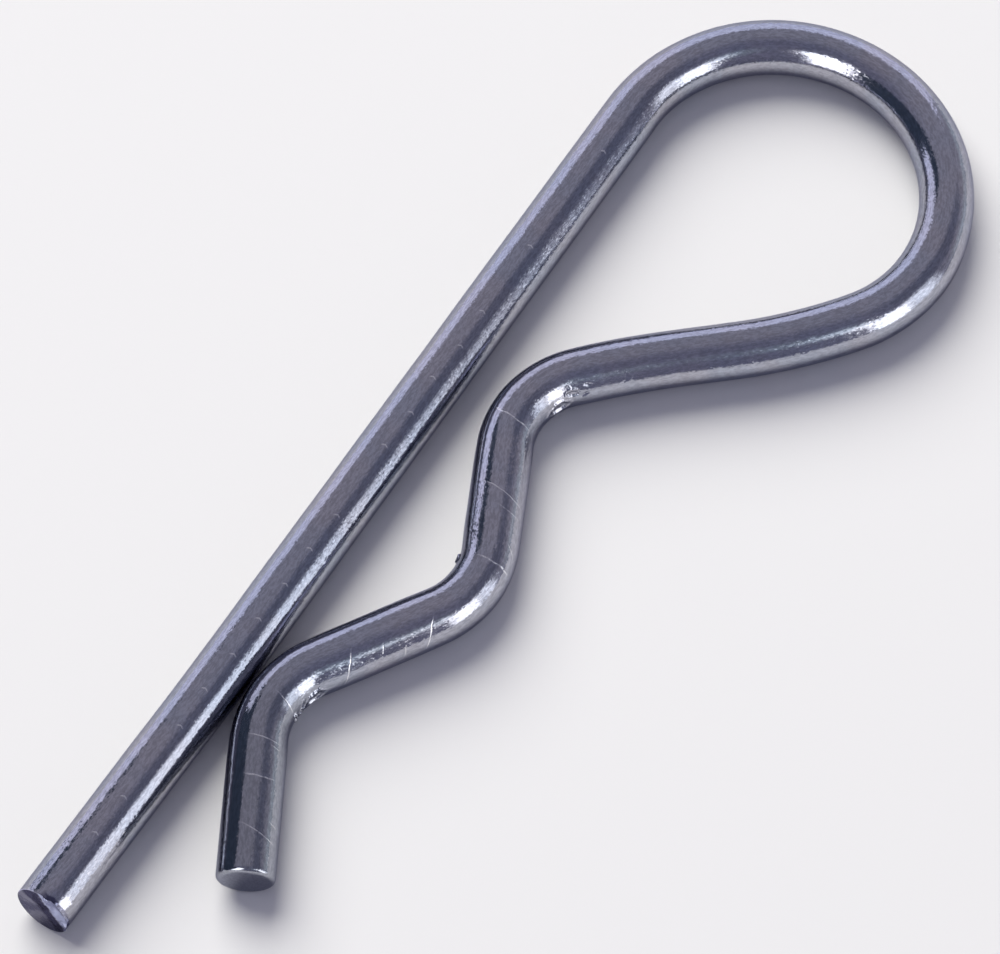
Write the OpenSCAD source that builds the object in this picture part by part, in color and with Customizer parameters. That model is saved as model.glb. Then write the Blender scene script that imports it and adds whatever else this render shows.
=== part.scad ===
// Hitch R-clip: one length of round spring wire, bent in one plane.
// The straight leg goes through the cross hole of a hitch pin. The waved leg springs
// open, snaps round the outside of the pin and holds it in the seat. The loop is
// the spring and the finger grip. The clip lies flat on z = 0, in millimetres.
//
// Headings and turns are degrees in the clip's plane, positive to the left. Centres
// are laid out with the straight leg along X at y = 0 and the loop's centre at x = 0.

/* [Wire] */
// Diameter of the spring wire
wire_d = 4.5; // [3:0.25:6]
// Lean of the sheared face on the straight leg's tip, in degrees
tip_lean = 8; // [0:1:15]
// Rolled rim on the waved leg's cut end
rim_r = 0.4; // [0.1:0.05:0.8]

/* [Straight leg] */
// Straight tip beyond the set, as far as its longest side
tip_len = 19.6; // [12:0.1:40]
// Angle of the slight set that the hook bend has pressed into the leg
set_angle = 1; // [0.5:0.25:2]
// Centreline radius of that set
set_r = 275; // [150:25:400]
// How far before the hook's point of contact the set starts
set_lead = 1; // [0:0.5:4]

/* [Loop] */
// Inside radius of the loop
loop_in_r = 11.2; // [9.8:0.1:12.2]
// Inside radius of the shoulder, where the loop tightens and turns back
shoulder_in_r = 9.4; // [7:0.1:10.6]
// Turn of the shoulder, in degrees
shoulder_sweep = 42; // [38:1:60]

/* [Run from the loop to the crest] */
// Centreline radius of the first, hollow part of the run
run_r = 44; // [30:1:80]
// Turn of that part, in degrees
run_sweep = 13; // [11:1:25]
// Straight length in the middle of the run
run_len = 4.2; // [1:0.1:20]
// Centreline radius of the last part of the run, which curves the other way
counter_r = 75; // [50:5:150]
// Turn of that part, in degrees
counter_sweep = 6.4; // [4:0.2:12]

/* [Pin seat] */
// Diameter of hitch pin that the waved leg is bent to seat on
seat_d = 19.6; // [16:0.1:24]
// Inside radius of the crest, seat and hook bends
bend_in_r = 5; // [3.5:0.25:7]
// From the crest bend to the seat bend, along the leg
crest_pitch = 14.1; // [12.5:0.1:20]
// Gap between the crest bend and the straight leg
crest_gap = 2.4; // [0.6:0.1:5]
// From the seat bend to the hook bend, along the leg
hook_pitch = 16.1; // [14:0.1:24]
// Hairline left between the hook bend and the straight leg that it rests against
contact_gap = 0.05; // [0.05:0.05:2]

/* [Waved leg's end] */
// Angle at which the end flares from the straight leg, to lead the pin in
flare_angle = 29; // [20:1:40]
// Straight length of the flared end
end_len = 11.1; // [6:0.1:20]

/* [Hidden] */
$fn = 96;

wire_r = wire_d / 2;
loop_r = loop_in_r + wire_r;
shoulder_r = shoulder_in_r + wire_r;
bend_r = bend_in_r + wire_r;
seat_r = seat_d / 2;

// Directions in the plane, along a heading and to the left of it
function along(h) = [cos(h), sin(h)];
function left_of(h) = [-sin(h), cos(h)];
function heading_of(v) = atan2(v.y, v.x);

// Heading of the straight run from one bend to the next, tangent to both
function run_heading(c1, r1, c2, r2) = heading_of(c2 - c1) - asin((r2 - r1) / norm(c2 - c1));

// Point where a run on heading h leaves or meets a bend, and the run between two bends.
// A radius is positive for a bend to the left and negative for one to the right.
function meets(c, r, h) = c - r * left_of(h);
function run_between(c1, r1, c2, r2, h) = norm(meets(c2, r2, h) - meets(c1, r1, h));

// Heading of the straight leg, from the set to the loop
LEG = 180;

// From the loop's centre to the crest bend's centre, in a frame that heads along the
// end of the loop. The loop's turn is the one that sets the crest at its gap.
run_in = -shoulder_sweep;
run_out = run_in - run_sweep;
counter_out = run_out + counter_sweep;
reach = (loop_r - shoulder_r) * left_of(0)
    + (shoulder_r - run_r) * left_of(run_in)
    + (run_r + counter_r) * left_of(run_out) + run_len * along(run_out)
    + (bend_r - counter_r) * left_of(counter_out);
crest_y = wire_d + crest_gap + bend_r;
loop_out = asin((crest_y - loop_r) / norm(reach)) - heading_of(reach);
crest_in = loop_out + counter_out;

// Centres of the loop, its shoulder and the three bends of the waved leg
loop_c = [0, loop_r];
shoulder_c = loop_c + (loop_r - shoulder_r) * left_of(loop_out);
crest_c = [norm(reach) * cos(heading_of(reach) + loop_out), crest_y];
seat_c = [crest_c.x + crest_pitch, seat_r + wire_r - bend_r];
hook_c = [seat_c.x + hook_pitch, wire_d + contact_gap + bend_r];

// Headings of the straight runs from crest to seat and from seat to hook
crest_out = run_heading(crest_c, bend_r, seat_c, -bend_r);
seat_out = run_heading(seat_c, -bend_r, hook_c, bend_r);

// The set's centre lies on the far side of the leg, so its tip is pressed outwards
set_c = [hook_c.x - set_lead, -set_r];
set_start = meets(set_c, set_r, LEG - set_angle);

// The wire from the set to the waved leg's end: [length] is a straight run, and
// [radius, turn] is a bend
STEPS = [
    [set_r, set_angle],
    [set_c.x],
    [loop_r, loop_out - LEG],
    [shoulder_r, -shoulder_sweep],
    [run_r, -run_sweep],
    [run_len],
    [counter_r, counter_sweep],
    [bend_r, crest_out - crest_in],
    [run_between(crest_c, bend_r, seat_c, -bend_r, crest_out)],
    [bend_r, seat_out - crest_out],
    [run_between(seat_c, -bend_r, hook_c, bend_r, seat_out)],
    [bend_r, flare_angle - seat_out]
];

// Each step stops a little short of the next one, and a ball a hair larger than the
// wire joins the two, so that their surfaces always cross cleanly
INSET = 0.05;
BALL_R = wire_r + 0.01;
function inset_angle(r) = INSET / r * 180 / PI;

// Outermost points of the centreline, so that the clip is centred on the origin
tip = set_start - tip_len * along(LEG - set_angle);
middle = [loop_c.x - loop_r - wire_r + tip.x, tip.y + shoulder_c.y + shoulder_r] / 2;

assert(loop_out > 0, "the shoulder has to start before the loop's top");

// Lays a round form that stands on the origin down along X
module lay() {
    rotate([0, 90, 0])
        children();
}

// Turns what follows a bend about the bend's centre
module after_bend(r, turn) {
    side = sign(turn) * r;
    translate([0, side, 0])
        rotate([0, 0, turn])
            translate([0, -side, 0])
                children();
}

// Bend: part of a ring that starts at the origin and heads along X
module bend(r, turn) {
    inset = inset_angle(r);
    translate([0, sign(turn) * r, 0])
        rotate([0, 0, turn > 0 ? inset - 90 : inset + turn + 90])
            rotate_extrude(angle = abs(turn) - 2 * inset)
                translate([r, 0])
                    circle(d = wire_d);
}

// Straight run along X from the origin
module straight(length) {
    translate([INSET, 0, 0])
        lay()
            cylinder(d = wire_d, h = length - 2 * INSET);
}

// The wire from step i to its flared end, each step starting where the last one ends
module wire(i = 0) {
    lay()
        sphere(r = BALL_R);
    if (i == len(STEPS)) {
        flared_end();
    } else if (len(STEPS[i]) == 1) {
        straight(STEPS[i][0]);
        translate([STEPS[i][0], 0, 0])
            wire(i + 1);
    } else {
        bend(STEPS[i][0], STEPS[i][1]);
        after_bend(STEPS[i][0], STEPS[i][1])
            wire(i + 1);
    }
}

// Sheared tip of the straight leg: the upper side is cut shorter than the lower one
module tip_stretch() {
    lay()
        difference() {
            translate([0, 0, INSET])
                cylinder(d = wire_d, h = tip_len - INSET);
            translate([wire_r, 0, tip_len])
                rotate([0, -tip_lean, 0])
                    translate([-2 * wire_d, -wire_d, 0])
                        cube([3 * wire_d, 2 * wire_d, wire_d]);
        }
}

// Cut end of the waved leg, with a rolled rim
module flared_end() {
    lay()
        rotate_extrude()
            union() {
                translate([0, INSET])
                    square([wire_r, end_len - rim_r - INSET]);
                translate([0, INSET])
                    square([wire_r - rim_r, end_len - INSET]);
                intersection() {
                    translate([wire_r - rim_r, end_len - rim_r])
                        circle(r = rim_r);
                    square([wire_r, end_len]);
                }
            }
}

module clip() {
    color("lightsteelblue")
        translate([set_start.x - middle.x, set_start.y - middle.y, BALL_R])
            rotate([0, 0, LEG - set_angle]) {
                wire();
                rotate([0, 0, 180])
                    tip_stretch();
            }
}

clip();
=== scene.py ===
# %% [markdown]
# # A hitch R-clip, from a straight blank to a bent and plated clip
#
# The clip is one length of round spring wire. It holds a hitch pin in place: the straight
# leg goes through the pin's cross hole, and the waved leg snaps round the outside.
# This lesson loads the measured solid as a fixed frame, makes the wire as a workshop would,
# cuts it, marks it and bends it, and then gives it its zinc finish and a small studio.

import math

import bmesh
import bpy
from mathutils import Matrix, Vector


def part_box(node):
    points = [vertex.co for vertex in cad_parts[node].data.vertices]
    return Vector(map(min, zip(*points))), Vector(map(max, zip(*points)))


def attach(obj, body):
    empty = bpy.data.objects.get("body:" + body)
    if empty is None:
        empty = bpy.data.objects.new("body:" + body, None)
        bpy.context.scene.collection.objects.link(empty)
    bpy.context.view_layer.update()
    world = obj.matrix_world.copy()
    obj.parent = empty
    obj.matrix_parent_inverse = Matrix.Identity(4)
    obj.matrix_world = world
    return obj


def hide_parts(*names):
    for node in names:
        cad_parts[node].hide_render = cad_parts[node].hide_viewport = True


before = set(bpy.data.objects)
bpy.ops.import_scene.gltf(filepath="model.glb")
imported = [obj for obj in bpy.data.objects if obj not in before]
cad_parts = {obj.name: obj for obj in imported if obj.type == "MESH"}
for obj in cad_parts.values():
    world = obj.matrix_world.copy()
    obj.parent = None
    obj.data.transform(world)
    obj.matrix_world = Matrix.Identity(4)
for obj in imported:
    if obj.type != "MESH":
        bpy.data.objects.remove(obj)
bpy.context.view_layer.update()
low, high = (Vector(corner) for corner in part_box("clip"))
scene = bpy.context.scene
MM = 0.001
print("the solid's box in mm:", [round(side / MM, 2) for side in high - low])

# %% [markdown]
# ## The camera
#
# The clip lies flat and is looked at from above, with its waved leg nearer. A camera could
# stand straight overhead, but then the two cut faces would be hidden and the wire would
# look like a flat drawing. It stands 63 degrees above the floor, with the long lens that
# small goods are usually shown with, so that the clip keeps its proportions.

# %% Place the camera
VIEW_FROM = Vector((129.6, 78.37, 309.72)) * MM
VIEW_TO = Vector((0.25, -4.6, 2.26)) * MM
LENS_MM = 161.7
bpy.ops.object.camera_add(location=VIEW_FROM)
camera = bpy.context.object
camera.name = "camera"
camera.rotation_euler = (VIEW_TO - VIEW_FROM).to_track_quat("-Z", "Y").to_euler()
camera.data.sensor_width = 36.0
camera.data.lens = LENS_MM
camera.data.clip_start = 0.01
scene.camera = camera
print("the camera stands", round((VIEW_TO - VIEW_FROM).length, 3), "m from the clip")

# %% [markdown]
# ## The bending plan
#
# A wire bender works from a list: feed this much straight wire, then turn this far round a
# pin of this radius. The whole shape of the clip is in that list. The wire could be swept
# along a drawn line, but a list of feeds and turns keeps every run tangent to its bends,
# as it is on the real clip, and it gives each point a place along the wire.

# %% Write down the bending plan
WIRE_R = 2.25 * MM
# Each line has the length of a straight feed in mm, or the radius of the wire's middle
# line in mm and its turn in degrees (to the left is positive), and then the spacing in mm
# of the rings of points on that stretch.
PLAN = {
    "tip": (19.6, None, 0.4),
    "set": (275.0, 1.0, 0.7),
    "straight leg": (56.7, None, 0.7),
    "loop": (13.45, -173.89, 0.4),
    "shoulder": (11.65, -42.0, 0.4),
    "hollow": (44.0, -13.0, 0.6),
    "run": (4.2, None, 0.7),
    "counter curve": (75.0, 6.4, 0.4),
    "crest": (7.25, 67.93, 0.12),
    "crest to seat": (8.72, None, 0.5),
    "seat": (7.25, -57.62, 0.12),
    "seat to hook": (9.9, None, 0.5),
    "hook": (7.25, 61.18, 0.12),
    "end": (11.1, None, 0.5),
}
HEADING = math.radians(179.0)  # of the tip, towards the loop
MOST_TURN = 30  # degrees that one Bezier piece may turn and still follow its arc closely
HAIR = 0.01 * MM  # that the visual wire stays inside the solid's box, at the tip


def wire_length(size, turn):
    """Length of wire in one line of the plan, in metres."""
    return (size if turn is None else size * math.radians(abs(turn))) * MM


spans = {}  # where each stretch starts and ends along the straight blank
fed = 0.0
for stretch, (size, turn, _) in PLAN.items():
    spans[stretch] = (fed, fed + wire_length(size, turn))
    fed = spans[stretch][1]
BLANK_LENGTH = fed
print("the blank is", round(BLANK_LENGTH / MM, 1), "mm long, for", len(PLAN), "stretches")

# %% Draw the wire's middle line from the plan
def flat_way(heading):
    """Direction of a heading in the plane of the clip."""
    return Vector((math.cos(heading), math.sin(heading), 0))


def middle_line(start, heading):
    """Bezier points as [place, handle in, handle out], along the whole plan."""
    points = [[start, start, start]]
    place = start.copy()
    for size, turn, _ in PLAN.values():
        pieces = 1 if turn is None else max(1, math.ceil(abs(turn) / MOST_TURN))
        for _ in range(pieces):
            if turn is None:
                heading_out = heading
                reach = size * MM / 3
                step = flat_way(heading) * size * MM
            else:
                part = math.radians(turn) / pieces
                heading_out = heading + part
                reach = 4 / 3 * math.tan(abs(part) / 4) * size * MM
                chord = 2 * size * MM * math.sin(abs(part) / 2)
                step = chord * flat_way(heading + part / 2)
            points[-1][2] = place + flat_way(heading) * reach
            place = place + step
            points.append([place, place - flat_way(heading_out) * reach, place])
            heading = heading_out
    return points


tip_centre = Vector((high.x - HAIR, low.y + WIRE_R, (low.z + high.z) / 2))
line_points = middle_line(tip_centre, HEADING)
line_data = bpy.data.curves.new("bending line", "CURVE")
line_data.dimensions = "2D"
line_data.resolution_u = 200
spline = line_data.splines.new("BEZIER")
spline.bezier_points.add(len(line_points) - 1)
rise = Vector((0, 0, tip_centre.z))  # the line is drawn on the floor, and the wire raised
for point, (place, handle_in, handle_out) in zip(spline.bezier_points, line_points):
    point.handle_left_type = point.handle_right_type = "FREE"
    point.co = place - rise
    point.handle_left = handle_in - rise
    point.handle_right = handle_out - rise
bending_line = bpy.data.objects.new("bending line", line_data)
scene.collection.objects.link(bending_line)
line_length = spline.calc_length() / MM
print("the middle line has", len(line_points), "points and", round(line_length, 2), "mm")

# %% [markdown]
# ## The straight blank
#
# The real clip starts as drawn wire, cut from a coil. It could be made bent at once, but a
# straight blank is far easier to cut and to mark, because every place on it is a distance
# along the wire and an angle round it. One ring of points is drawn out, stretch by stretch.

# %% Draw out the wire
RING_POINTS = 96
TOUCH = 1e-6  # metres within which a point counts as lying on a plane


def nothing_selected():
    """An operator acts on all that is selected, so every step starts from nothing."""
    if bpy.context.object and bpy.context.object.mode == "EDIT":
        bpy.ops.mesh.select_all(action="DESELECT")
    else:
        bpy.ops.object.select_all(action="DESELECT")


def pick(piece, test):
    """In edit mode, select the points whose place passes a test, and count them."""
    nothing_selected()
    bpy.ops.mesh.select_mode(type="VERT")
    grid = bmesh.from_edit_mesh(piece.data)
    chosen = [point for point in grid.verts if test(point.co)]
    for point in chosen:
        point.select = True
    grid.select_flush_mode()
    bmesh.update_edit_mesh(piece.data)
    return len(chosen)


nothing_selected()
bpy.ops.mesh.primitive_circle_add(
    vertices=RING_POINTS, radius=WIRE_R, rotation=(0, math.radians(90), 0)
)
wire = bpy.context.object
wire.name = "clip_wire"
bpy.ops.object.transform_apply(location=True, rotation=True, scale=True)
bpy.ops.object.mode_set(mode="EDIT")
bpy.ops.mesh.select_all(action="SELECT")
END_RIM = 0.4 * MM
for stretch, (size, turn, spacing) in PLAN.items():
    length = wire_length(size, turn) - (END_RIM if stretch == "end" else 0)
    steps = max(1, round(length / (spacing * MM)))
    bpy.ops.mesh.extrude_repeat(steps=steps, offset=(length / steps, 0, 0))
print("the drawn wire has", len(bmesh.from_edit_mesh(wire.data).verts), "points")

# %% [markdown]
# ## The two cut ends
#
# The waved leg's end was cropped square in a tool that rolled its rim, so it has a soft
# round edge that catches a thin bright line. The straight leg's tip was sheared: its face
# leans back, its edge is crisp, and on one side the metal rolled over before it broke.
# A bevel could round both, but drawing the last ring inwards gives each its own rim.

# %% Close the waved leg's end with a rolled rim
def draw_ring(forward, shrink):
    """Draw the selected ring on along the blank, and scale it."""
    bpy.ops.mesh.extrude_region_move(TRANSFORM_OT_translate={"value": (forward, 0, 0)})
    bpy.ops.transform.resize(value=(1, shrink, shrink))


pick(wire, lambda co: co.x > BLANK_LENGTH - END_RIM - TOUCH)
radius = WIRE_R
RIM_STEPS = 5
for step in range(1, RIM_STEPS + 1):
    angle = math.radians(90) * step / RIM_STEPS
    before = math.radians(90) * (step - 1) / RIM_STEPS
    rounded = WIRE_R - END_RIM * (1 - math.cos(angle))
    draw_ring(END_RIM * (math.sin(angle) - math.sin(before)), rounded / radius)
    radius = rounded
FACE_RINGS = 10
for ring in range(FACE_RINGS - 1, 0, -1):
    smaller = (WIRE_R - END_RIM) * ring / FACE_RINGS
    draw_ring(0.0, smaller / radius)
    radius = smaller
bpy.ops.mesh.merge(type="CENTER")
print("the end is closed", round(END_RIM / MM, 2), "mm past its last straight ring")

# %% Refine the mesh where the marks will be
def round_place(co):
    """Angle round the wire, in degrees: 0 on top, positive to the left."""
    return math.degrees(math.atan2(co.y, co.z))


def turned_from(co, angle):
    """How many degrees a point lies away from an angle round the wire."""
    return abs((round_place(co) - angle + 180) % 360 - 180)


# Each zone: from and to along the wire in mm, its middle angle and its half width.
MARKED = [
    (0, 2.8, 0, 180),
    (151.0, 158.0, 70, 46),
    (170.5, 176.0, -80, 34),
    (187.2, 193.6, 80, 44),
]
for start, stop, angle, half in MARKED:
    pick(
        wire,
        lambda co: start * MM <= co.x <= stop * MM and turned_from(co, angle) <= half,
    )
    bpy.ops.mesh.subdivide(number_cuts=1)
print("the wire now has", len(bmesh.from_edit_mesh(wire.data).verts), "points")

# %% Shear the tip and close it
TIP_LEAN = math.radians(8)
pick(wire, lambda co: co.x < 5 * MM)
bpy.ops.mesh.bisect(
    plane_co=(0, 0, -WIRE_R),
    plane_no=(math.cos(TIP_LEAN), 0, -math.sin(TIP_LEAN)),
    clear_inner=True,
    threshold=1e-7,
)


def off_face(co):
    """How far a point of the blank lies behind the sheared plane, along the wire."""
    return co.x - (co.z + WIRE_R) * math.tan(TIP_LEAN)


rim_points = pick(wire, lambda co: abs(off_face(co)) < TOUCH)
TIP_EDGE = 0.09 * MM
TIP_RINGS = 24
radius = WIRE_R
for ring in range(TIP_RINGS, 0, -1):
    smaller = (WIRE_R - TIP_EDGE) * ring / TIP_RINGS
    bpy.ops.mesh.extrude_region_move(TRANSFORM_OT_translate={"value": (0, 0, 0)})
    bpy.ops.transform.resize(value=(smaller / radius,) * 3)
    radius = smaller
bpy.ops.mesh.merge(type="CENTER")
bpy.ops.mesh.select_all(action="SELECT")
bpy.ops.mesh.remove_doubles(threshold=TOUCH)
bpy.ops.mesh.normals_make_consistent(inside=False)
print("the tip is sheared through", rim_points, "points")

# %% [markdown]
# ## Marks of the tools
#
# Each tight bend was pressed round a pin: the wire got a little thinner there, and the
# pin's edge crushed its hollow side into short folds. The shear rolled the tip's edge over
# on one side and left a small burr. These are pushed into the blank with proportional
# editing, as a thumb pushes clay. They could be only a bump in the finish, but they show
# in the outline, so they belong in the shape.

# %% Roll over the tip's edge, with soft pushes
def push(test, move, reach, falloff="SMOOTH"):
    """Move the points that pass a test, and let what is near them follow."""
    count = pick(wire, test)
    if count:
        bpy.ops.transform.translate(
            value=move,
            use_proportional_edit=True,
            proportional_edit_falloff=falloff,
            proportional_size=reach,
        )
    return count


rolled = push(
    lambda co: off_face(co) < TOUCH
    and co.yz.length > WIRE_R - TOUCH
    and turned_from(co, -56) < 30,
    (0.1 * MM, 0.1 * MM, -0.06 * MM),
    1.3 * MM,
)
rolled += push(
    lambda co: off_face(co) < TOUCH
    and co.yz.length > WIRE_R * 0.96
    and turned_from(co, -52) < 36,
    (0.34 * MM, 0, 0),
    0.55 * MM,
    "SHARP",
)
# Two crumbs of burr stand out of the face, at the two ends of the rolled edge.
for angle, forward in ((-9, -0.16), (-98, -0.1)):
    rolled += push(
        lambda co: abs(off_face(co)) < 0.3 * MM
        and 0.86 * WIRE_R < co.yz.length < 0.97 * WIRE_R
        and turned_from(co, angle) < 5,
        (forward * MM, 0, 0),
        0.22 * MM,
    )
print("the tip's edge is rolled over at", rolled, "points")

# %% Make the bends thinner
THINNER = {"loop": 0.975, "crest": 0.955, "seat": 0.955, "hook": 0.955}
for stretch, share in THINNER.items():
    start, stop = spans[stretch]
    inset = min(3 * MM, (stop - start) / 3)
    pick(wire, lambda co: start + inset < co.x < stop - inset)
    bpy.ops.transform.resize(
        value=(1, share, 1),
        use_proportional_edit=True,
        proportional_edit_falloff="SMOOTH",
        proportional_size=inset + 2 * MM,
    )
print("thinned:", ", ".join(THINNER))

# %% Crush the hollow sides of the three tight bends
# Each fold: its place along the wire in mm, its angle round it, its length and width in
# mm, its slant in degrees, and its depth in mm (below zero it is a raised lip).
FOLDS = [
    (155.7, 81, 2.8, 0.80, 0, 0.17),
    (155.6, 66, 2.2, 0.22, 0, -0.07),
    (153.9, 60, 1.9, 0.46, -10, 0.11),
    (153.8, 50, 1.5, 0.20, -10, -0.05),
    (152.4, 46, 1.0, 0.28, -40, 0.10),
    (152.7, 68, 1.1, 0.30, 20, 0.10),
    (172.2, -80, 1.6, 0.45, -20, -0.18),
    (173.6, -74, 1.2, 0.40, 30, 0.15),
    (174.6, -90, 1.8, 0.50, 10, 0.12),
    (189.1, 86, 2.6, 0.95, 8, 0.19),
    (189.0, 70, 2.5, 0.22, 8, -0.09),
    (190.7, 78, 1.0, 0.30, 50, 0.16),
    (191.2, 90, 0.9, 0.40, 45, 0.20),
    (191.9, 84, 0.8, 0.32, -40, -0.12),
    (192.1, 74, 0.9, 0.28, 30, 0.10),
    (191.7, 98, 0.8, 0.36, 70, 0.20),
    (192.3, 92, 0.6, 0.30, 60, -0.14),
]


def in_fold(co, fold, grow=1.0):
    """Whether a point lies inside a fold's long lens shape."""
    along, angle, length, wide, slant, _ = fold
    u = co.x / MM - along
    v = WIRE_R / MM * math.radians((round_place(co) - angle + 180) % 360 - 180)
    turn = math.radians(slant)
    u, v = u * math.cos(turn) + v * math.sin(turn), v * math.cos(turn) - u * math.sin(turn)
    return (u / (length / 2 * grow)) ** 2 + (v / (wide / 2 * grow)) ** 2 < 1


DEEP = 0.15  # mm; the metal rises in a lip round a fold that is deeper than this
moved = 0
for fold in FOLDS:
    _, angle, _, wide, _, depth = fold
    inward = Vector((0, -math.sin(math.radians(angle)), -math.cos(math.radians(angle))))
    reach = max(wide * 0.4, 0.14) * MM
    moved += push(lambda co: in_fold(co, fold, 0.6), inward * depth * MM, reach)
    if depth > DEEP:
        moved += push(
            lambda co: in_fold(co, fold, 1.3) and not in_fold(co, fold, 1.05),
            -inward * 0.25 * depth * MM,
            0.12 * MM,
        )
print("folds pressed in:", len(FOLDS), "- they moved", moved, "points")

# %% Roughen the crushed places
# Round the folds the grain is half as strong as on the sheared tip's torn edge.
bpy.ops.object.mode_set(mode="OBJECT")
crushed = wire.vertex_groups.new(name="crushed")
for vertex in wire.data.vertices:
    co = vertex.co
    if any(in_fold(co, fold, 1.3) for fold in FOLDS):
        crushed.add([vertex.index], 0.5, "REPLACE")
    elif (
        off_face(co) < 0.4 * MM
        and turned_from(co, -50) < 46
        and co.yz.length > 0.8 * WIRE_R
    ):
        crushed.add([vertex.index], 1.0, "REPLACE")
grit = bpy.data.textures.new("grit", "CLOUDS")
grit.noise_scale = 0.35 * MM
grit.noise_depth = 2
torn = wire.modifiers.new("torn grain", "DISPLACE")
torn.texture = grit
torn.strength = 0.055 * MM
torn.mid_level = 0.5
torn.vertex_group = "crushed"
bpy.ops.object.modifier_apply(modifier=torn.name)
swell = bpy.data.textures.new("swell", "CLOUDS")
swell.noise_scale = 7 * MM
hand = wire.modifiers.new("slight waves of the drawing", "DISPLACE")
hand.texture = swell
hand.strength = 0.05 * MM
hand.mid_level = 0.75
bpy.ops.object.modifier_apply(modifier=hand.name)
bpy.ops.object.mode_set(mode="EDIT")
print("roughened", sum(1 for v in wire.data.vertices if v.groups), "points")

# %% Keep each point's place on the straight blank
bpy.ops.object.mode_set(mode="OBJECT")
places = [value for vertex in wire.data.vertices for value in vertex.co]
blank_place = wire.data.attributes.new("blank", "FLOAT_VECTOR", "POINT")
blank_place.data.foreach_set("vector", places)
print("each point remembers its place on the blank:", len(wire.data.vertices))

# %% [markdown]
# ## Bending
#
# A Curve modifier carries the straight blank along the middle line, as the pins of the
# bender do. Each ring could be moved by a formula instead, but the modifier does it in one
# step. It is applied, so that the finished wire lies at its place in the frame.

# %% Bend the blank
nothing_selected()
wire.select_set(True)
bpy.context.view_layer.objects.active = wire
bend = wire.modifiers.new("bend along the plan", "CURVE")
bend.object = bending_line
bend.deform_axis = "POS_X"
bpy.ops.object.modifier_apply(modifier=bend.name)
wire.location = (0, 0, tip_centre.z)
bpy.ops.object.transform_apply(location=True, rotation=True, scale=True)
bpy.data.objects.remove(bending_line)
bpy.ops.object.shade_smooth_by_angle(angle=math.radians(40))
for name, end, solid in (("lowest", min, low), ("highest", max, high)):
    corner = [end(v.co[axis] for v in wire.data.vertices) / MM for axis in range(3)]
    print(name, "corner of the bent wire:", corner, "and of the solid:", list(solid / MM))

# %% Say what the wire is in the frame
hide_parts("clip")
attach(wire, "root")
print(wire.name, "stands for the solid clip")

# %% [markdown]
# ## The finish
#
# Bright zinc on drawn wire is a soft mirror. Its look comes from small things: a fine
# crystal grain that sparkles at the edge of every highlight, faint lines from the drawing
# die, thin scratches across the wire from the bending tools, and a bluish passivated film
# that is not quite even. Every pattern is laid on the straight blank, whose places the
# wire remembers, so it follows the bends and has no seam. A flat grey metal would show the
# same lamps, but it would look like plastic chrome.

# %% Helpers for building recipes of nodes
def new_recipe(name, inputs, outputs):
    """A node group with named inputs and outputs."""
    recipe = bpy.data.node_groups.new(name, "ShaderNodeTree")
    sockets = recipe.interface
    for label, kind, value in inputs:
        socket = sockets.new_socket(label, in_out="INPUT", socket_type="NodeSocket" + kind)
        if value is not None:
            socket.default_value = value
    for label, kind in outputs:
        sockets.new_socket(label, in_out="OUTPUT", socket_type="NodeSocket" + kind)
    given = recipe.nodes.new("NodeGroupInput").outputs
    result = recipe.nodes.new("NodeGroupOutput").inputs
    return recipe, given, result


def wire_up(tree, socket, value):
    """Link a socket to another, or give it a plain value."""
    if isinstance(value, bpy.types.NodeSocket):
        tree.links.new(value, socket)
    else:
        socket.default_value = value


def calc(tree, operation, *terms, clamp=False):
    """A Math node, and its result."""
    node = tree.nodes.new("ShaderNodeMath")
    node.operation = operation
    node.use_clamp = clamp
    for socket, term in zip(node.inputs, terms):
        wire_up(tree, socket, term)
    return node.outputs[0]


def plus(tree, first, second):
    """The sum of two values."""
    return calc(tree, "ADD", first, second)


def minus(tree, first, second):
    """The first value less the second."""
    return calc(tree, "SUBTRACT", first, second)


def times(tree, first, second, clamp=False):
    """The product of two values."""
    return calc(tree, "MULTIPLY", first, second, clamp=clamp)


def vector_calc(tree, operation, *terms, scale=None):
    """A Vector Math node, and its result."""
    node = tree.nodes.new("ShaderNodeVectorMath")
    node.operation = operation
    for socket, term in zip(node.inputs, terms):
        wire_up(tree, socket, term)
    if scale is not None:
        wire_up(tree, node.inputs["Scale"], scale)
    return node.outputs[0]


def between(tree, value, low, high, to_low=0.0, to_high=1.0):
    """A Map Range node that eases a value from one range to another."""
    node = tree.nodes.new("ShaderNodeMapRange")
    node.interpolation_type = "SMOOTHSTEP"
    labels = ("Value", "From Min", "From Max", "To Min", "To Max")
    for label, term in zip(labels, (value, low, high, to_low, to_high)):
        wire_up(tree, node.inputs[label], term)
    return node.outputs[0]


def noise(tree, place, scale, detail=2.0, roughness=0.5):
    """A Noise Texture's value."""
    node = tree.nodes.new("ShaderNodeTexNoise")
    wire_up(tree, node.inputs["Vector"], place)
    wire_up(tree, node.inputs["Scale"], scale)
    wire_up(tree, node.inputs["Detail"], detail)
    wire_up(tree, node.inputs["Roughness"], roughness)
    return node.outputs["Fac"]


# A Mix node has a set of sockets for each kind of value; these are the ones for colours.
MIX_SHARE, MIX_FIRST, MIX_SECOND, MIX_RESULT = 0, 6, 7, 2


def blend(tree, share, first, second):
    """A Mix node for colours."""
    node = tree.nodes.new("ShaderNodeMix")
    node.data_type = "RGBA"
    wire_up(tree, node.inputs[MIX_SHARE], share)
    wire_up(tree, node.inputs[MIX_FIRST], first)
    wire_up(tree, node.inputs[MIX_SECOND], second)
    return node.outputs[MIX_RESULT]


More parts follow.
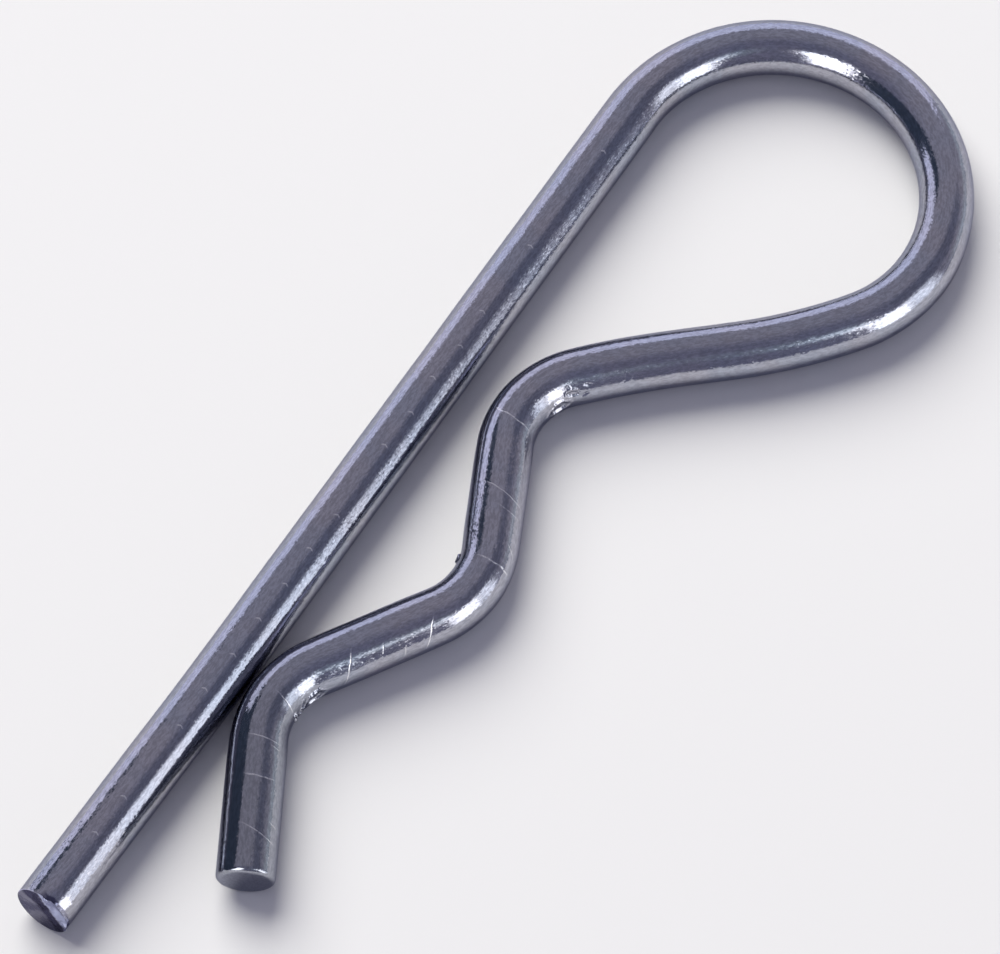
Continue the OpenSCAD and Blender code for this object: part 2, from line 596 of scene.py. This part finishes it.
def axes(tree, place):
    """The three coordinates of a place."""
    split = tree.nodes.new("ShaderNodeSeparateXYZ")
    wire_up(tree, split.inputs[0], place)
    return split.outputs["X"], split.outputs["Y"], split.outputs["Z"]


def length_of(tree, u, v):
    """Length of the vector (u, v)."""
    u, v = times(tree, u, u), times(tree, v, v)
    return calc(tree, "SQRT", plus(tree, u, v))


DRAWN_OUT = (0.35, 1.0, 1.0)  # squeezes places along the wire, for streaks of 3 to 1


def stretched(tree, place, stretch):
    """Places squeezed along the wire, so that a pattern on them comes out longer."""
    shrink = tree.nodes.new("ShaderNodeCombineXYZ")
    wire_up(tree, shrink.inputs["X"], calc(tree, "DIVIDE", 1.0, stretch))
    shrink.inputs["Y"].default_value = 1.0
    shrink.inputs["Z"].default_value = 1.0
    return vector_calc(tree, "MULTIPLY", place, shrink.outputs[0])


def millimetre_bump(tree, height):
    """A Bump node whose height is in millimetres, and its normal."""
    node = tree.nodes.new("ShaderNodeBump")
    node.inputs["Distance"].default_value = MM
    node.inputs["Strength"].default_value = 1.0
    wire_up(tree, node.inputs["Height"], height)
    return node.outputs["Normal"]


def use(tree, recipe, **values):
    """Place a recipe in a tree with its own values. An underscore stands for a space."""
    node = tree.nodes.new("ShaderNodeGroup")
    node.node_tree = recipe
    for label, value in values.items():
        wire_up(tree, node.inputs[label.replace("_", " ")], value)
    return node.outputs


print("helpers are ready for the recipes")

# %% [markdown]
# ## Recipes for the marks in the skin
#
# Each kind of mark that a tool or the zinc bath left is a recipe of its own: the die's
# lines, the crystals of zinc, the scratches, the ticks of the feed rollers, the rubbing of
# the bending pins, and the zones of a shear cut. They could be painted by hand on the
# finished wire, but a recipe works in millimetres along the wire and degrees round it, so
# one number moves a mark.

# %% Recipe: lines of the drawing die
draw_lines, given, result = new_recipe(
    "lines of the drawing die",
    [("Place", "Vector", None), ("Lines per mm", "Float", 8.0), ("Stretch", "Float", 60.0)],
    [("Lines", "Float")],
)
squeezed = stretched(draw_lines, given["Place"], given["Stretch"])
streaks = noise(draw_lines, squeezed, given["Lines per mm"], 3.0, 0.6)
wire_up(draw_lines, result["Lines"], streaks)
print("recipe:", draw_lines.name)

# %% Recipe: zinc grain
# Each crystal is a tiny facet. Most lie almost flat and a few are tilted well over, so the
# tilt is a cubed random number.
zinc_grain, given, result = new_recipe(
    "zinc grain",
    [
        ("Place", "Vector", None),
        ("Grains per mm", "Float", 7.0),
        ("Stretch", "Float", 1.6),
        ("Tilt", "Float", 0.04),
        ("Normal", "Vector", None),
    ],
    [("Normal", "Vector")],
)
cells = zinc_grain.nodes.new("ShaderNodeTexVoronoi")
squeezed = stretched(zinc_grain, given["Place"], given["Stretch"])
wire_up(zinc_grain, cells.inputs["Vector"], squeezed)
wire_up(zinc_grain, cells.inputs["Scale"], given["Grains per mm"])
facet = vector_calc(zinc_grain, "SUBTRACT", cells.outputs["Color"], (0.5, 0.5, 0.5))
facet = vector_calc(zinc_grain, "SCALE", facet, scale=2.0)
squared = vector_calc(zinc_grain, "MULTIPLY", facet, facet)
cubed = vector_calc(zinc_grain, "MULTIPLY", facet, squared)
leaning = vector_calc(zinc_grain, "SCALE", cubed, scale=given["Tilt"])
tilted = vector_calc(zinc_grain, "ADD", given["Normal"], leaning)
wire_up(zinc_grain, result["Normal"], vector_calc(zinc_grain, "NORMALIZE", tilted))
print("recipe:", zinc_grain.name)

# %% Recipe: a scratch across the wire
cross_scratch, given, result = new_recipe(
    "scratch across the wire",
    [
        ("Place", "Vector", None),
        ("Along", "Float", 160.0),
        ("Angle", "Float", 0.0),
        ("Spread", "Float", 40.0),
        ("Slant", "Float", 0.8),
        ("Width", "Float", 0.1),
        ("Strength", "Float", 1.0),
    ],
    [("Mask", "Float")],
)
x, y, z = axes(cross_scratch, given["Place"])
middle = calc(cross_scratch, "RADIANS", given["Angle"])
away = minus(cross_scratch, calc(cross_scratch, "ARCTAN2", y, z), middle)
spread = calc(cross_scratch, "RADIANS", given["Spread"])
wobble = minus(cross_scratch, noise(cross_scratch, given["Place"], 0.9, 1.0), 0.5)
slanted = times(cross_scratch, away, given["Slant"])
path = plus(cross_scratch, given["Along"], slanted)
path = plus(cross_scratch, path, times(cross_scratch, wobble, 0.22))
offset = calc(cross_scratch, "ABSOLUTE", minus(cross_scratch, x, path))
# A scratch thins out towards both of its ends, and breaks up a little on the way.
fade = calc(cross_scratch, "DIVIDE", calc(cross_scratch, "ABSOLUTE", away), spread)
fade = between(cross_scratch, fade, 0.5, 1.0, 1.0, 0.0)
patchy = noise(cross_scratch, given["Place"], 3.5, 2.0)
patchy = between(cross_scratch, patchy, 0.35, 0.6, 0.5, 1.0)
line = between(cross_scratch, offset, 0.0, given["Width"], 1.0, 0.0)
mask = times(cross_scratch, times(cross_scratch, line, fade), patchy)
mask = times(cross_scratch, mask, given["Strength"], clamp=True)
wire_up(cross_scratch, result["Mask"], mask)
print("recipe:", cross_scratch.name)

# %% Recipe: marks of the feed rollers
feed_marks, given, result = new_recipe(
    "marks of the feed rollers",
    [
        ("Place", "Vector", None),
        ("Pitch", "Float", 3.45),
        ("Angle", "Float", -14.0),
        ("Spread", "Float", 9.0),
        ("Last", "Float", 82.0),
    ],
    [("Mask", "Float")],
)
x, y, z = axes(feed_marks, given["Place"])
round_it = calc(feed_marks, "DEGREES", calc(feed_marks, "ARCTAN2", y, z))
turns = calc(feed_marks, "DIVIDE", plus(feed_marks, x, 1.75), given["Pitch"])
within = minus(feed_marks, calc(feed_marks, "FRACT", turns), 0.5)
within = times(feed_marks, within, given["Pitch"])
number = calc(feed_marks, "FLOOR", turns)
chance = feed_marks.nodes.new("ShaderNodeTexWhiteNoise")
chance.noise_dimensions = "1D"
wire_up(feed_marks, chance.inputs["W"], number)
shift = minus(feed_marks, chance.outputs["Value"], 0.5)
centre = plus(feed_marks, given["Angle"], times(feed_marks, shift, 14.0))
away = calc(feed_marks, "ABSOLUTE", minus(feed_marks, round_it, centre))
# Each mark curls a little towards its ends, and about a third of them are left out.
curled = plus(feed_marks, within, times(feed_marks, away, 0.02))
thin = between(feed_marks, calc(feed_marks, "ABSOLUTE", curled), 0.02, 0.1, 1.0, 0.0)
short = calc(feed_marks, "DIVIDE", away, given["Spread"])
short = between(feed_marks, short, 0.4, 1.0, 1.0, 0.0)
kept = calc(feed_marks, "GREATER_THAN", chance.outputs["Value"], 0.35)
until = calc(feed_marks, "LESS_THAN", x, given["Last"])
kept = times(feed_marks, kept, until)
mask = times(feed_marks, times(feed_marks, thin, short), kept)
wire_up(feed_marks, result["Mask"], mask)
print("recipe:", feed_marks.name)

# %% Recipe: rubbing where a tool pressed
tool_rub, given, result = new_recipe(
    "rubbing of a bending tool",
    [
        ("Place", "Vector", None),
        ("Along", "Float", 155.0),
        ("Angle", "Float", 80.0),
        ("Length", "Float", 4.0),
        ("Spread", "Float", 30.0),
    ],
    [("Mask", "Float"), ("Height", "Float")],
)
x, y, z = axes(tool_rub, given["Place"])
round_it = calc(tool_rub, "DEGREES", calc(tool_rub, "ARCTAN2", y, z))
half_length = times(tool_rub, given["Length"], 0.5)
u = calc(tool_rub, "DIVIDE", minus(tool_rub, x, given["Along"]), half_length)
v = minus(tool_rub, round_it, given["Angle"])
v = calc(tool_rub, "DIVIDE", v, given["Spread"])
far = length_of(tool_rub, u, v)
wander = minus(tool_rub, noise(tool_rub, given["Place"], 2.2, 3.0), 0.5)
ragged = plus(tool_rub, far, times(tool_rub, wander, 1.1))
mask = between(tool_rub, ragged, 0.75, 1.0, 1.0, 0.0)
wire_up(tool_rub, result["Mask"], mask)
strokes = vector_calc(tool_rub, "MULTIPLY", given["Place"], DRAWN_OUT)
strokes = times(tool_rub, mask, noise(tool_rub, strokes, 4.0, 3.0, 0.55))
wire_up(tool_rub, result["Height"], strokes)
print("recipe:", tool_rub.name)

# %% Recipe: the zones of a sheared face
# Seen from the blade's side, a sheared face is a smooth strip, then a torn step, then the
# duller rest. Places on it are measured in radii of the wire.
shear_zones, given, result = new_recipe(
    "zones of a sheared face",
    [("Place", "Vector", None), ("Angle", "Float", -51.0), ("Radius", "Float", 2.25)],
    [("Burnish", "Float"), ("Break", "Float"), ("Rim", "Float"), ("Edge", "Float")],
)
x, y, z = axes(shear_zones, given["Place"])
turn = calc(shear_zones, "RADIANS", given["Angle"])
sine, cosine = calc(shear_zones, "SINE", turn), calc(shear_zones, "COSINE", turn)
y = calc(shear_zones, "DIVIDE", y, given["Radius"])
z = calc(shear_zones, "DIVIDE", z, given["Radius"])
# How far a place lies towards the blade, and how far to the side, in radii.
y_sine, z_cosine = times(shear_zones, y, sine), times(shear_zones, z, cosine)
z_sine, y_cosine = times(shear_zones, z, sine), times(shear_zones, y, cosine)
up = plus(shear_zones, y_sine, z_cosine)
side = minus(shear_zones, z_sine, y_cosine)
ripple = minus(shear_zones, noise(shear_zones, given["Place"], 1.9, 4.0, 0.7), 0.5)
up = plus(shear_zones, up, times(shear_zones, ripple, 0.4))
# The blade smoothed a strip near its own side.
strip_ends = between(shear_zones, up, 0.84, 0.92, 1.0, 0.0)
burnish = times(shear_zones, between(shear_zones, up, 0.40, 0.48), strip_ends)
wire_up(shear_zones, result["Burnish"], burnish)
# Below the strip the metal tore, in a band that reaches lower on one side; its near-black
# colour is partly painted shade.
band_floor = between(shear_zones, side, -0.75, -0.3, -0.3, 0.0)
above_floor = minus(shear_zones, up, band_floor)
band_ends = between(shear_zones, up, 0.36, 0.44, 1.0, 0.0)
torn_band_and_shade = times(shear_zones, between(shear_zones, above_floor, -0.12, 0.06), band_ends)
wire_up(shear_zones, result["Break"], torn_band_and_shade)
# The upper rim of the face has a thin bright line: a painted highlight where the edge
# catches light.
near_rim = between(shear_zones, length_of(shear_zones, y, z), 0.95, 0.97)
near_rim = times(shear_zones, near_rim, between(shear_zones, up, 0.3, 0.5, 1.0, 0.0))
near_rim = times(shear_zones, near_rim, between(shear_zones, z, 0.1, 0.4))
wire_up(shear_zones, result["Rim"], near_rim)
# Behind the blade's side of the face, the skin is painted dark for a short way: painted
# shade, standing in for the dark that the rounded edge mirrors.
lean = times(shear_zones, given["Radius"], math.tan(TIP_LEAN))
lean = times(shear_zones, plus(shear_zones, z, 1.0), lean)
behind = minus(shear_zones, x, lean)
behind = plus(shear_zones, behind, times(shear_zones, ripple, 0.9))
behind = between(shear_zones, behind, 0.28, 0.5, 1.0, 0.0)
edge = times(shear_zones, behind, between(shear_zones, up, 0.5, 0.72))
wire_up(shear_zones, result["Edge"], edge)
print("recipe:", shear_zones.name)

# %% [markdown]
# ## Bright zinc
#
# The wire's own finish. The scratches are rougher than the skin beside them, so they
# gather light from all sides and read as thin pale lines. The grain is weaker on some
# stretches than on others, as zinc never settles quite evenly.

# %% Mix the bright zinc
def metal(name):
    """A metal's node tree, its shader, and the blank's places in millimetres."""
    material = bpy.data.materials.new(name)
    material.use_nodes = True
    tree = material.node_tree
    shader = tree.nodes["Principled BSDF"]
    shader.inputs["Metallic"].default_value = 1.0
    shader.inputs["Specular Tint"].default_value = (0.5, 0.5, 0.58, 1)
    place = tree.nodes.new("ShaderNodeAttribute")
    place.attribute_name = "blank"
    place_mm = vector_calc(tree, "SCALE", place.outputs["Vector"], scale=1 / MM)
    return material, tree, shader, place_mm


# Each scratch: place along the wire in mm, angle round it, spread to each side in degrees,
# slant in mm for each radian, and strength.
SCRATCHES = [
    (159.9, 2, 56, 0.55, 0.9),
    (166.4, 14, 50, 1.15, 0.7),
    (167.9, 31, 30, 0.95, 0.45),
    (170.9, 50, 14, 2.0, 0.55),
    (172.2, 24, 46, 0.2, 0.85),
    (178.8, 50, 36, 1.15, 1.0),
    (181.0, 62, 14, 0.9, 0.55),
    (182.6, 40, 14, 0.9, 0.6),
    (185.5, 50, 40, 1.05, 1.0),
    (191.9, 38, 36, 0.6, 0.8),
    (195.7, 18, 38, 0.4, 0.7),
    (196.3, 40, 13, 0.6, 0.5),
    (198.8, 14, 36, 0.2, 0.7),
    (203.2, 22, 40, 1.05, 0.6),
    (202.4, 52, 12, 0.9, 0.4),
]
zinc, tree, shader, place = metal("bright zinc")
scratched = 0.0
for along, angle, spread, slant, strength in SCRATCHES:
    one = use(
        tree,
        cross_scratch,
        Place=place,
        Along=along,
        Angle=angle,
        Spread=spread,
        Slant=slant,
        Strength=strength,
    )["Mask"]
    scratched = calc(tree, "MAXIMUM", scratched, one)
rollers = use(tree, feed_marks, Place=place)["Mask"]
# Each rubbed place: along the wire in mm, angle round it, length in mm, and spread to each
# side in degrees.
RUBBED = {
    "run before the crest": (151.4, 46, 5.5, 20),
    "crest": (154.6, 78, 4.6, 24),
    "seat": (173.4, -86, 4.6, 30),
    "run before the hook": (185.6, 60, 6.0, 17),
    "hook": (190.2, 80, 4.8, 24),
}
rubbed, rub_height = 0.0, 0.0
for along, angle, length, spread in RUBBED.values():
    one = use(
        tree, tool_rub, Place=place, Along=along, Angle=angle, Length=length, Spread=spread
    )
    rubbed = calc(tree, "MAXIMUM", rubbed, one["Mask"])
    rub_height = calc(tree, "MAXIMUM", rub_height, one["Height"])
lines = use(tree, draw_lines, Place=place, Lines_per_mm=7.0, Stretch=70.0)["Lines"]
# The film is bluer in clouds and darker towards the waved leg's end. The die's lines and a
# fine mottling run through it, and just behind the tip's face it is painted nearly black as
# painted shade.
cloudy = between(tree, noise(tree, place, 0.22, 3.0), 0.35, 0.65)
film = blend(tree, cloudy, (0.385, 0.41, 0.485, 1), (0.42, 0.42, 0.475, 1))
along_wire = axes(tree, place)[0]
film = blend(tree, between(tree, along_wire, 184.0, 199.0), film, (0.33, 0.345, 0.39, 1))
in_lines = times(tree, between(tree, lines, 0.3, 0.7), 0.35)
film = blend(tree, in_lines, film, (0.34, 0.34, 0.40, 1))
streaks = noise(tree, vector_calc(tree, "MULTIPLY", place, DRAWN_OUT), 6.0, 3.0, 0.7)
mottled = between(tree, streaks, 0.35, 0.65, 0.85, 1.14)
film = vector_calc(tree, "SCALE", film, scale=mottled)
# Painted shade: the skin just behind the sheared face is darkened to near black.
film = blend(tree, use(tree, shear_zones, Place=place)["Edge"], film, (0.12, 0.12, 0.19, 1))
worn = calc(tree, "MAXIMUM", scratched, times(tree, rollers, 0.6))
wire_up(tree, shader.inputs["Base Color"], blend(tree, worn, film, (0.95, 0.95, 0.97, 1)))
skin = between(tree, noise(tree, place, 1.6, 3.0), 0.3, 0.7, 0.09, 0.16)
skin = plus(tree, skin, times(tree, rubbed, 0.06))
skin = calc(tree, "MAXIMUM", skin, times(tree, worn, 0.5))
wire_up(tree, shader.inputs["Roughness"], skin)
# Heights in mm: the die's lines stand out, scratches are cut in, and rubbed places ripple.
height = times(tree, lines, 0.0016)
height = minus(tree, height, times(tree, worn, 0.012))
height = plus(tree, height, times(tree, rub_height, 0.018))
grain = use(
    tree,
    zinc_grain,
    Place=place,
    Grains_per_mm=11.0,
    Stretch=1.8,
    Tilt=between(tree, noise(tree, place, 0.35, 2.0), 0.35, 0.65, 0.03, 0.065),
    Normal=millimetre_bump(tree, height),
)
wire_up(tree, shader.inputs["Normal"], grain["Normal"])
print("bright zinc has", len(SCRATCHES), "scratches and", len(RUBBED), "rubbed bends")

# %% [markdown]
# ## The cut faces
#
# Where the wire was cut, the torn steel took the zinc thinly. It is less of a mirror than
# the skin, and darker and more violet, partly as painted shade for the dark that the faces
# mirror. The sheared tip has the three zones of every shear cut: a smooth pale strip that
# the blade burnished, made paler and lavender as a painted reflection, a dark step where the
# metal tore, deepened as painted shade, and the duller rest; its upper rim carries a thin
# painted highlight. Both faces could share the wire's finish, but then they would light up
# like the sides do.

# %% Mix the darker zinc of the cut faces, partly painted shade
torn_zinc, tree, shader, place = metal("zinc on cut steel")
patches = noise(tree, place, 0.5, 4.0, 0.6)
spotted = between(tree, patches, 0.42, 0.6)
zones = use(tree, shear_zones, Place=place)
# Painted shade: the sheared face is darker than the steel's own colour, standing in for the
# dark it mirrors.
sheared = blend(tree, spotted, (0.12, 0.118, 0.165, 1), (0.25, 0.245, 0.30, 1))
# The torn step is a real zone, but its near-black colour is painted shade.
torn_step_and_shade = blend(tree, spotted, (0.028, 0.026, 0.038, 1), (0.075, 0.072, 0.115, 1))
sheared = blend(tree, zones["Break"], sheared, torn_step_and_shade)
# The burnished strip is real, but its light lavender colour is a painted reflection.
burnish_and_reflection = blend(tree, spotted, (0.24, 0.25, 0.38, 1), (0.5, 0.53, 0.72, 1))
sheared = blend(tree, zones["Burnish"], sheared, burnish_and_reflection)
# Painted highlight: a thin pale lavender line along the tip's upper rim.
sheared = blend(tree, zones["Rim"], sheared, (0.6, 0.6, 0.75, 1))
# Painted shade too: the cropped end's face is darkened the same way.
cropped = blend(tree, spotted, (0.125, 0.115, 0.15, 1), (0.17, 0.155, 0.19, 1))
# The blank's first half has the sheared tip, and its second half the cropped end.
HALFWAY = 100.0
along_wire = axes(tree, place)[0]
at_end = calc(tree, "GREATER_THAN", along_wire, HALFWAY)
wire_up(tree, shader.inputs["Base Color"], blend(tree, at_end, sheared, cropped))
dull = between(tree, patches, 0.3, 0.7, 0.2, 0.32)
# The painted highlight rim on the tip is also a little rougher.
highlight_rim_roughness = calc(tree, "LESS_THAN", along_wire, HALFWAY)
highlight_rim_roughness = times(tree, times(tree, zones["Rim"], 0.5), highlight_rim_roughness)
wire_up(tree, shader.inputs["Roughness"], calc(tree, "MAXIMUM", dull, highlight_rim_roughness))
pitted = times(tree, noise(tree, place, 3.0, 4.0, 0.6), 0.03)
grain = use(
    tree,
    zinc_grain,
    Place=place,
    Grains_per_mm=8.0,
    Tilt=0.12,
    Normal=millimetre_bump(tree, pitted),
)
wire_up(tree, shader.inputs["Normal"], grain["Normal"])
print(torn_zinc.name, "has", len(tree.nodes), "nodes")

# %% Give each face of the mesh its finish
# The sheared face's finish reaches a little way over its rolled edge, not onto the skin.
wire.data.materials.append(zinc)
wire.data.materials.append(torn_zinc)
remembered = wire.data.attributes["blank"].data
cut_faces = 0
for face in wire.data.polygons:
    spots = [Vector(remembered[i].vector) for i in face.vertices]
    spot = sum(spots, Vector()) / len(spots)
    out = spot.yz.length / WIRE_R
    behind = off_face(spot) / MM
    on_tip = (behind < 0.42 and out < 0.955) or (behind < 0.06 and out < 0.988)
    on_end = spot.x > BLANK_LENGTH - 0.004 * MM
    if on_tip or on_end:
        face.material_index = 1
        cut_faces += 1
print("faces with the darker finish:", cut_faces)

# %% [markdown]
# ## Floor and studio
#
# The clip lies on a plain pale board. A mirror-like wire shows the room more than itself, so
# the room is part of the look: a bright soft box in front, another at the side, a pale
# lavender wall behind the straight leg, and a dark corner that gives the wire its
# near-black bands. A single lamp would light the floor, but the wire would look flat.

# %% Lay the floor
nothing_selected()
bpy.ops.mesh.primitive_plane_add(size=6.0, location=(0, 0, 0))
floor = bpy.context.object
floor.name = "floor"
board = bpy.data.materials.new("pale matt board")
board.use_nodes = True
board_shader = board.node_tree.nodes["Principled BSDF"]
board_shader.inputs["Base Color"].default_value = (0.86, 0.86, 0.85, 1)
board_shader.inputs["Roughness"].default_value = 0.8
board_shader.inputs["Specular IOR Level"].default_value = 0.0
floor.data.materials.append(board)
print("the floor is", floor.dimensions.x, "m wide")

# %% Recipe: soft edges of a lit cloth
soft_edges, given, result = new_recipe(
    "soft edges",
    [("Place", "Vector", None), ("Edge across", "Float", 0.2), ("Edge up", "Float", 0.2)],
    [("Mask", "Float")],
)
x, y, _ = axes(soft_edges, given["Place"])
mask = 1.0
for coordinate, edge in ((x, "Edge across"), (y, "Edge up")):
    to_far_edge = minus(soft_edges, 1.0, coordinate)
    nearer = calc(soft_edges, "MINIMUM", coordinate, to_far_edge)
    mask = times(soft_edges, mask, between(soft_edges, nearer, 0.0, given[edge]))
wire_up(soft_edges, result["Mask"], mask)
print("recipe:", soft_edges.name)

# %% Hang the lit cloths
def towards(azimuth, elevation):
    """Direction from the clip, by azimuth and elevation in degrees."""
    a, e = math.radians(azimuth), math.radians(elevation)
    return Vector((math.cos(e) * math.cos(a), math.cos(e) * math.sin(a), math.sin(e)))


def width_at(distance, angle):
    """Width that fills an angle in degrees at a distance."""
    return 2 * distance * math.tan(math.radians(angle) / 2)


def lit_cloth(name, azimuth, elevation, wide, tall, edge, level, colour, distance=1.2):
    """A flat glowing cloth for the metal to mirror, given by its direction and its size in
    degrees. It fades out over a soft edge, so that highlights have no hard border."""
    nothing_selected()
    bpy.ops.mesh.primitive_plane_add(size=1.0)
    cloth = bpy.context.object
    cloth.name = name
    across, up = wide + edge, tall + edge
    cloth.dimensions = (width_at(distance, across), width_at(distance, up), 0)
    cloth.location = towards(azimuth, elevation) * distance
    cloth.rotation_euler = (-towards(azimuth, elevation)).to_track_quat("Z", "Y").to_euler()
    bpy.ops.object.transform_apply(location=True, rotation=True, scale=True)
    glow = bpy.data.materials.new(name)
    glow.use_nodes = True
    tree = glow.node_tree
    shader = tree.nodes["Principled BSDF"]
    shader.inputs["Base Color"].default_value = (0, 0, 0, 1)
    shader.inputs["Roughness"].default_value = 1.0
    shader.inputs["Specular IOR Level"].default_value = 0.0
    shader.inputs["Emission Color"].default_value = (*colour, 1)
    shader.inputs["Emission Strength"].default_value = level
    on_cloth = tree.nodes.new("ShaderNodeTexCoord").outputs["UV"]
    edges = {"Edge_across": edge / across, "Edge_up": edge / up}
    soft = use(tree, soft_edges, Place=on_cloth, **edges)
    wire_up(tree, shader.inputs["Alpha"], soft["Mask"])
    cloth.data.materials.append(glow)
    for_metal_only(cloth)
    print(name, "covers", across, "by", up, "degrees")


def for_metal_only(thing):
    """The metal mirrors it, but it neither lights the floor nor shades it."""
    thing.visible_camera = False
    thing.visible_diffuse = False
    thing.visible_shadow = False


# Azimuth, elevation, width, height and soft edge in degrees, then brightness and colour.
lit_cloth("front box", 1.5, 28.5, 25, 45, 9, 4.0, (1.0, 1.0, 1.0))
lit_cloth("side box", 85.5, 18, 22, 41, 10, 3.0, (1.0, 1.0, 1.0))
lit_cloth("side wing", 106.5, 16, 14, 43, 14, 1.9, (0.9, 0.94, 1.0), 1.3)
lit_cloth("side glow", 64, 44, 14, 16, 20, 0.5, (0.75, 0.87, 1.0), 1.4)
lit_cloth("upper glow", 72.5, 40, 9, 9, 12, 2.0, (0.9, 0.96, 1.0), 1.1)
lit_cloth("dim cloth", 151, 0, 46, 30, 14, 0.66, (0.86, 0.92, 1.0), 1.5)

# %% Hang the lamp
# One wide soft lamp lights the floor from behind the straight leg. The metal doesn't
# mirror it, because the cloths and walls stand for all that the metal sees.
LAMP_WAY = towards(238, 42)
LAMP_DISTANCE = 3
LAMP_LEVEL = 5.9  # brightness of its disc
bpy.ops.object.light_add(type="AREA", location=LAMP_WAY * LAMP_DISTANCE)
lamp = bpy.context.object
lamp.name = "lamp behind"
lamp.rotation_euler = (-LAMP_WAY).to_track_quat("-Z", "Y").to_euler()
lamp.data.shape = "DISK"
lamp.data.size = width_at(LAMP_DISTANCE, 52)
lamp.data.energy = math.pi * math.pi * (lamp.data.size / 2) ** 2 * LAMP_LEVEL
lamp.data.color = (1.0, 0.985, 0.94)
lamp.visible_camera = False
lamp.visible_glossy = False
print("the lamp's power is", round(lamp.data.energy, 1), "W")

# %% Stand the walls round the clip
def wall(name, azimuth_from, azimuth_to, elevation_to, distance, level, colour):
    """A curved wall of even brightness, spun round the clip from one upright edge."""
    nothing_selected()
    bpy.ops.mesh.primitive_plane_add(size=1)
    panel = bpy.context.object
    panel.name = name
    bpy.ops.object.mode_set(mode="EDIT")
    grid = bmesh.from_edit_mesh(panel.data)
    corners = sorted(grid.verts, key=lambda v: (v.co.x, v.co.y))
    bmesh.ops.delete(grid, geom=corners[2:], context="VERTS")
    start = towards(azimuth_from, 0) * distance
    corners[0].co = start
    corners[1].co = start + Vector((0, 0, distance * math.tan(math.radians(elevation_to))))
    bmesh.update_edit_mesh(panel.data)
    bpy.ops.mesh.select_all(action="SELECT")
    sweep = math.radians(azimuth_from - azimuth_to)
    bpy.ops.mesh.spin(steps=16, angle=sweep, center=(0, 0, 0), axis=(0, 0, 1))
    bpy.ops.object.mode_set(mode="OBJECT")
    glow = bpy.data.materials.new(name)
    glow.use_nodes = True
    glow.node_tree.nodes.clear()
    light = glow.node_tree.nodes.new("ShaderNodeEmission")
    light.inputs["Color"].default_value = (*colour, 1)
    light.inputs["Strength"].default_value = level
    out = glow.node_tree.nodes.new("ShaderNodeOutputMaterial")
    glow.node_tree.links.new(light.outputs[0], out.inputs["Surface"])
    panel.data.materials.append(glow)
    for_metal_only(panel)
    middle = sum((v.co for v in panel.data.vertices), Vector()) / len(panel.data.vertices)
    print(name, "stands at azimuth", round(math.degrees(math.atan2(middle.y, middle.x))))


# Azimuth from and to, and height in degrees, distance in metres, brightness and colour.
wall("lavender wall", 176, 272, 28.5, 0.17, 1.2, (0.82, 0.82, 1.0))
wall("dark corner", 254, 340, 46, 0.6, 0.1, (0.5, 0.65, 1.0))

# %% Fill the room
world = bpy.data.worlds.new("studio room")
scene.world = world
world.use_nodes = True
room = world.node_tree
direction = room.nodes.new("ShaderNodeTexCoord").outputs["Generated"]


def facing(azimuth, elevation, low, high):
    """How far a direction in the room turns towards a place, eased from low to high."""
    node = room.nodes.new("ShaderNodeVectorMath")
    node.operation = "DOT_PRODUCT"
    wire_up(room, node.inputs[0], direction)
    node.inputs[1].default_value = towards(azimuth, elevation)
    return between(room, node.outputs["Value"], low, high)


# The room is paler on one side, with a dimmer patch between the side box and the wall.
paler_side = facing(-150, 0, -0.25, 0.4)
colour = blend(room, paler_side, (0.21, 0.21, 0.29, 1), (0.36, 0.347, 0.41, 1))
colour = blend(room, facing(133, 48, 0.9, 0.98), colour, (0.165, 0.17, 0.235, 1))
wire_up(room, room.nodes["Background"].inputs["Color"], colour)
scene.view_settings.view_transform = "Standard"
print("the room has", len(room.nodes), "nodes")

# %% [markdown]
# ## The sizes
#
# The finished wire has to stay inside the box of the measured solid. It could be measured
# by eye, but both boxes were written down after the bending instead, so that they can be
# compared. Here the wire's triangles are counted.

# %% Count the wire's triangles and finish
print("triangles of the wire:", sum(len(face.vertices) - 2 for face in wire.data.polygons))
